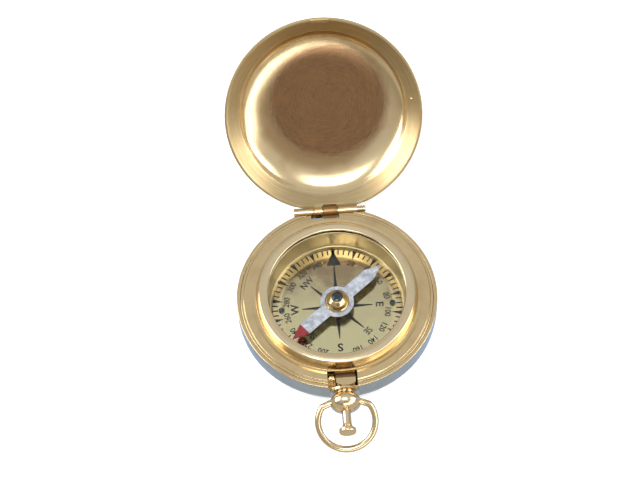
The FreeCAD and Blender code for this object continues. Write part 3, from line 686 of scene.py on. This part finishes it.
for degrees in range(20, 360, 20):
    if degrees != 180:
        lettering("number_%03d" % degrees, str(degrees), degrees, 12.75, 1.5, 0.035, 0.9)
lettering("number_180_s", "180", 180, 14.6, 1.5, 0.035, 0.9)
lettering("letter_E", "E", 90, 10.6, 2.0, 0.06)
lettering("letter_W", "W", 270, 10.6, 2.0, 0.06)
lettering("letter_S", "S", 180, 11.2, 2.2, 0.07)
for text, degrees in (("NE", 45), ("SE", 135), ("SW", 225), ("NW", 315)):
    lettering("letters_" + text, text, degrees, 10.1, 1.75, 0.04, 0.85)

# ---------------------------------------------------------------- needle cap and jewel
cap = turned("cap_turned", [
    (1.1, NEEDLE_TOP, 0),
    (3.1, NEEDLE_TOP, 0.05),
    (3.1, NEEDLE_TOP + 0.35, 0.2),
    (2.82, NEEDLE_TOP + 0.6, 0.15),
    (2.45, NEEDLE_TOP + 1.5, 1.0),
    (1.5, CAP_TOP + 0.03, 0.2),
    (1.1, CAP_TOP + 0.03, 0),
], CAP_BRASS)
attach(cap, "needle")
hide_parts("needle_cap")

jewel = turned("jewel_dome", [
    (0, CAP_TOP - 1.0, 0),
    (1.1, CAP_TOP - 1.0, 0),
    (1.44, CAP_TOP, 0.05),
    (1.44, CAP_TOP + 0.2, 0.2),
    (0.85, JEWEL_TOP - 0.06, 0.6),
    (0, JEWEL_TOP, 0),
], JEWEL)
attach(jewel, "needle")
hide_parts("needle_jewel")

# ---------------------------------------------------------------- lid, turned shut and stored open
OPENED = (
    Matrix.Translation(HINGE * MM)
    @ Matrix.Rotation(-LID_OPEN, 4, "X")
    @ Matrix.Translation(-HINGE * MM)
)


def lid_wall(rise, grow, start, stop, count=16):
    """Quarter oval from the lid's crease up to its nearly flat crown."""
    points = []
    for step in range(count + 1):
        angle = math.radians(start + (stop - start) * step / count)
        radius = LID_CROWN + (8.0 + grow) * math.cos(angle)
        height = LID_SEAT + rise + (LID_DEPTH - LID_WALL_FOOT) * math.sin(angle)
        points.append((radius, height, 0))
    return points


lid = turned("lid_turned", [
    (0, LID_SEAT + LID_DEPTH + LID_CROWN_RISE, 0),
    *reversed(lid_wall(LID_WALL_FOOT, 0.0, 14, 88)),
    (21.25, LID_SEAT + 2.55, 0.3),
    (24.15, LID_SEAT + 0.2, 0.6),
    (24.45, LID_SEAT, 0.1),
    (CASE_R, LID_SEAT, 0.15),
    (CASE_R, LID_SEAT + 1.15, 0.45),
    (22.6, LID_SEAT + 2.9, 1.2),
    *lid_wall(LID_WALL_FOOT + LID_SHEET, 0.35, 22, 88),
    (0, LID_SEAT + LID_DEPTH + LID_CROWN_RISE + LID_SHEET, 0),
], LID_BRASS, OPENED, cuts=(
    ((SEAT_LEFT, HINGE.y - 1.45, 9), (SEAT_RIGHT, 27, HINGE.z + 1.42)),
))
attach(lid, "lid")
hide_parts("lid_shell")

pip_mesh = bmesh.new()
bmesh.ops.create_icosphere(
    pip_mesh, subdivisions=4, radius=0.4, matrix=Matrix.Translation((22.4, -2.6, LID_SEAT + 1.45)),
)
pip = finish_mesh("lid_pip", pip_mesh, CAP_BRASS, OPENED)
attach(pip, "lid")

# ---------------------------------------------------------------- pendant, button, bow
PENDANT_HEIGHT = Matrix.Translation(Vector((0, 0, BALL.z)) * MM)
ALONG_MINUS_Y = PENDANT_HEIGHT @ Matrix.Rotation(math.radians(90), 4, "X")


def outward(y):
    """Distance along the pendant's axis, away from the case."""
    return -y


COLLAR_FACE = outward(low("pendant_collar").y)
BALL_FACE = outward(low("pendant_ball").y)
ball_section = [(1.16, COLLAR_FACE, 0), (2.5, COLLAR_FACE, 0.1), (2.5, COLLAR_FACE + 0.3, 0.2)]
for step in range(1, 24):
    angle = math.radians(-62 + step * 5.6)
    ball_section.append((3.8 * math.cos(angle), outward(BALL.y) + 2.6 * math.sin(angle), 0))
ball_section += [(1.35, BALL_FACE - 0.02, 0.1), (1.16, BALL_FACE - 0.2, 0.05)]
ball = turned("ball_turned", ball_section, PENDANT_BRASS, ALONG_MINUS_Y)
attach(ball, "case")
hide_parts("pendant_ball")

HEAD_IN = outward(high("button_head").y)
HEAD_OUT = outward(low("button_head").y)
head = turned("button_turned", [
    (0, HEAD_IN - 0.3, 0),
    (1.12, HEAD_IN - 0.3, 0),
    (1.15, HEAD_IN, 0.2),
    (1.55, HEAD_IN + 0.75, 0.4),
    (2.1, HEAD_IN + 1.05, 0.15),
    (2.1, HEAD_OUT - 0.15, 0.3),
    (1.6, HEAD_OUT, 0.4),
    (0, HEAD_OUT, 0),
], PENDANT_BRASS, ALONG_MINUS_Y)
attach(head, "button")
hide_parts("button_head")

BOW_WIRE = 0.8
BOW_R = 7.0
BOW_DROP = 4.7
BOW_TILT = math.radians(37.8)
BOW_PIN = 2.95


def bow_wire():
    """The bow as one bent wire: a hoop whose ends turn in to the pendant ball."""
    bow_place = Matrix.Translation(BALL * MM) @ Matrix.Rotation(BOW_TILT, 4, "X")
    end = math.asin(BOW_DROP / BOW_R)
    path = [Vector((BOW_PIN, 0, 0)), Vector((BOW_PIN + 0.9, 0, 0))]
    sweep = math.pi + 2 * end
    count = 96
    for step in range(3, count - 2):
        angle = end - sweep * step / count
        path.append(Vector((BOW_R * math.cos(angle), BOW_R * math.sin(angle) - BOW_DROP, 0)))
    path += [Vector((-BOW_PIN - 0.9, 0, 0)), Vector((-BOW_PIN, 0, 0))]
    bm = bmesh.new()
    rings = []
    sides = 28
    for index, point in enumerate(path):
        ahead = path[min(index + 1, len(path) - 1)] - path[max(index - 1, 0)]
        across = Vector((-ahead.y, ahead.x, 0)).normalized()
        ring = []
        for side in range(sides):
            angle = math.tau * side / sides
            arm = across * math.cos(angle) + Vector((0, 0, math.sin(angle)))
            ring.append(bm.verts.new(point + arm * BOW_WIRE))
        rings.append(ring)
    for first, second in zip(rings, rings[1:]):
        for side in range(sides):
            following = (side + 1) % sides
            bm.faces.new((first[side], first[following], second[following], second[side]))
    bm.faces.new(rings[0])
    bm.faces.new(list(reversed(rings[-1])))
    return finish_mesh("bow_bent_wire", bm, BOW_BRASS, bow_place, 60)


bow = bow_wire()
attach(bow, "bow")
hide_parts("bow_ring")

# ---------------------------------------------------------------- CAD nodes that keep their shape
KEPT = {
    "dial_plate": DIAL_BRASS,
    "dial_pillars": INNER_BRASS,
    "dial_screws": SCREW,
    "pivot_post": STEEL,
    "needle_blade": NEEDLE_PAINT,
    "lift_collar": INNER_BRASS,
    "lift_lever": INNER_BRASS,
    "lever_ears": INNER_BRASS,
    "lever_pin": STEEL,
    "lock_pin": CAP_BRASS,
    "lock_guide": INNER_BRASS,
    "lid_lip": RIM_BRASS,
    "lid_knuckle": HINGE_BRASS,
    "lid_kick_tab": DARK_BRASS,
    "case_knuckles": HINGE_BRASS,
    "hinge_leaf": HINGE_BRASS,
    "hinge_pin": HINGE_BRASS,
    "lid_spring": STEEL,
    "lid_spring_screw": STEEL,
    "catch_block": CAP_BRASS,
    "catch_shelf": INNER_BRASS,
    "pendant_collar": PENDANT_BRASS,
    "button_stem": PENDANT_BRASS,
    "button_spring": STEEL,
}
for name, material in KEPT.items():
    mesh = NODES[name].data
    for index in range(len(mesh.materials)):
        mesh.materials[index] = material
    if not mesh.materials:
        mesh.materials.append(material)

# ---------------------------------------------------------------- floor, light, camera
floor_mesh = bmesh.new()
bmesh.ops.create_grid(floor_mesh, x_segments=1, y_segments=1, size=4000)


def floor_material():
    """White paper to the eye; polished metal sees a painted reflection instead, a dimmer, cooler glow,
    blue near the object and warm grey further out.
    """
    graph = Graph("pale_floor")
    place = graph.coordinates()
    cloud = graph.noise(place, 0.01, 3.0, 0.5)
    white = graph.mix(cloud, (0.95, 0.95, 0.95), (0.92, 0.92, 0.92))
    path = graph.node("ShaderNodeLightPath")
    graph.link(white, graph.shader.inputs["Base Color"])
    graph.shader.inputs["Emission Color"].default_value = (1, 1, 1, 1)
    graph.shader.inputs["Emission Strength"].default_value = 0.22
    # Painted reflection: an emission seen only by glossy rays, blue within about 30 mm of the origin
    # and warm grey beyond.
    glossy_reflection_glow = graph.node("ShaderNodeEmission")
    distance = graph.node("ShaderNodeVectorMath", operation="LENGTH")
    graph.link(place, distance.inputs[0])
    reflection_glow_fade = graph.grey(graph.math("MULTIPLY", distance.outputs["Value"], 0.01), (0.29, 0.0), (0.37, 1.0))
    graph.link(graph.mix(reflection_glow_fade, (0.42, 0.60, 1.0), (0.66, 0.63, 0.57)), glossy_reflection_glow.inputs["Color"])
    blend = graph.node("ShaderNodeMixShader")
    graph.link(path.outputs["Is Glossy Ray"], blend.inputs[0])
    graph.link(graph.shader.outputs[0], blend.inputs[1])
    graph.link(glossy_reflection_glow.outputs[0], blend.inputs[2])
    graph.link(blend.outputs[0], graph.tree.nodes["Material Output"].inputs["Surface"])
    graph.shader.inputs["Roughness"].default_value = 0.9
    graph.shader.inputs["Specular IOR Level"].default_value = 0.0
    return graph.material


floor = finish_mesh("floor", floor_mesh, floor_material())

world = bpy.data.worlds.new("studio")
bpy.context.scene.world = world
world.use_nodes = True
tree = world.node_tree


sky = tree.nodes.new("ShaderNodeTexCoord")


def sky_ramp(factor, *stops):
    """A colour ramp in the world's node tree."""
    ramp = tree.nodes.new("ShaderNodeValToRGB")
    elements = ramp.color_ramp.elements
    while len(elements) < len(stops):
        elements.new(0.5)
    for element, (position, colour) in zip(elements, stops):
        element.position = position
        element.color = (*colour, 1)
    tree.links.new(factor, ramp.inputs["Fac"])
    return ramp.outputs["Color"]


def towards(direction):
    """How nearly a sky direction points one way, from -1 to 1."""
    dot = tree.nodes.new("ShaderNodeVectorMath")
    dot.operation = "DOT_PRODUCT"
    dot.inputs[1].default_value = Vector(direction).normalized()
    tree.links.new(sky.outputs["Generated"], dot.inputs[0])
    return dot.outputs["Value"]


room = sky_ramp(
    towards((0, 0, 1)),
    (0.0, (0.34, 0.31, 0.27)),
    (0.35, (0.52, 0.50, 0.46)),
    (0.80, (0.74, 0.76, 0.78)),
    (1.0, (0.80, 0.83, 0.86)),
)
shade = sky_ramp(towards((0.08, -0.88, 0.47)), (0.955, (1, 1, 1)), (0.995, (0.50, 0.36, 0.26)))
blend = tree.nodes.new("ShaderNodeMix")
blend.data_type = "RGBA"
blend.blend_type = "MULTIPLY"
blend.inputs[0].default_value = 1.0
tree.links.new(room, blend.inputs[6])
tree.links.new(shade, blend.inputs[7])
tree.links.new(blend.outputs[2], tree.nodes["Background"].inputs["Color"])


def softbox(name, place, width, height, power):
    """A rectangular area light aimed at the origin; places in mm."""
    lamp = bpy.data.lights.new(name, "AREA")
    lamp.shape = "RECTANGLE"
    lamp.size = width * MM
    lamp.size_y = height * MM
    lamp.energy = power
    holder = bpy.data.objects.new(name, lamp)
    bpy.context.scene.collection.objects.link(holder)
    holder.location = Vector(place) * MM
    holder.rotation_euler = (-Vector(place)).to_track_quat("-Z", "Y").to_euler()


softbox("left_softbox", (-520, 40, 330), 520, 420, 3.4)
softbox("right_softbox", (520, -60, 330), 300, 420, 1.6)
softbox("front_softbox", (120, -520, 120), 420, 160, 0.7)
softbox("side_softbox", (470, -420, 240), 420, 330, 1.15)
softbox("top_softbox", (-40, -170, 560), 300, 240, 1.3)

VIEW_ELEVATION = math.radians(61.55)
VIEW_AZIMUTH = math.radians(-1.75)
VIEW_ROLL = math.radians(2.5)
VIEW_DISTANCE = 479.0
VIEW_TARGET = Vector((-3.2, 13.29, FLANGE_Z + 5.0))
VIEW_LENS = 107.8


def make_camera():
    """The camera on its elevation and azimuth round the target, rolled about its own axis."""
    turn = VIEW_AZIMUTH
    back = Vector((
        math.sin(turn) * math.cos(VIEW_ELEVATION),
        -math.cos(turn) * math.cos(VIEW_ELEVATION),
        math.sin(VIEW_ELEVATION),
    ))
    right = Vector((math.cos(turn), math.sin(turn), 0))
    up = back.cross(right)
    lens = bpy.data.cameras.new("camera")
    lens.sensor_width = 36
    lens.lens = VIEW_LENS
    lens.clip_start = 0.01
    camera = bpy.data.objects.new("camera", lens)
    bpy.context.scene.collection.objects.link(camera)
    upright = Matrix((right, up, back)).transposed().to_4x4()
    spot = Matrix.Translation((VIEW_TARGET + back * VIEW_DISTANCE) * MM)
    camera.matrix_world = spot @ upright @ Matrix.Rotation(-VIEW_ROLL, 4, "Z")
    bpy.context.scene.camera = camera


make_camera()
bpy.context.scene.view_settings.view_transform = "Standard"

bpy.context.view_layer.update()
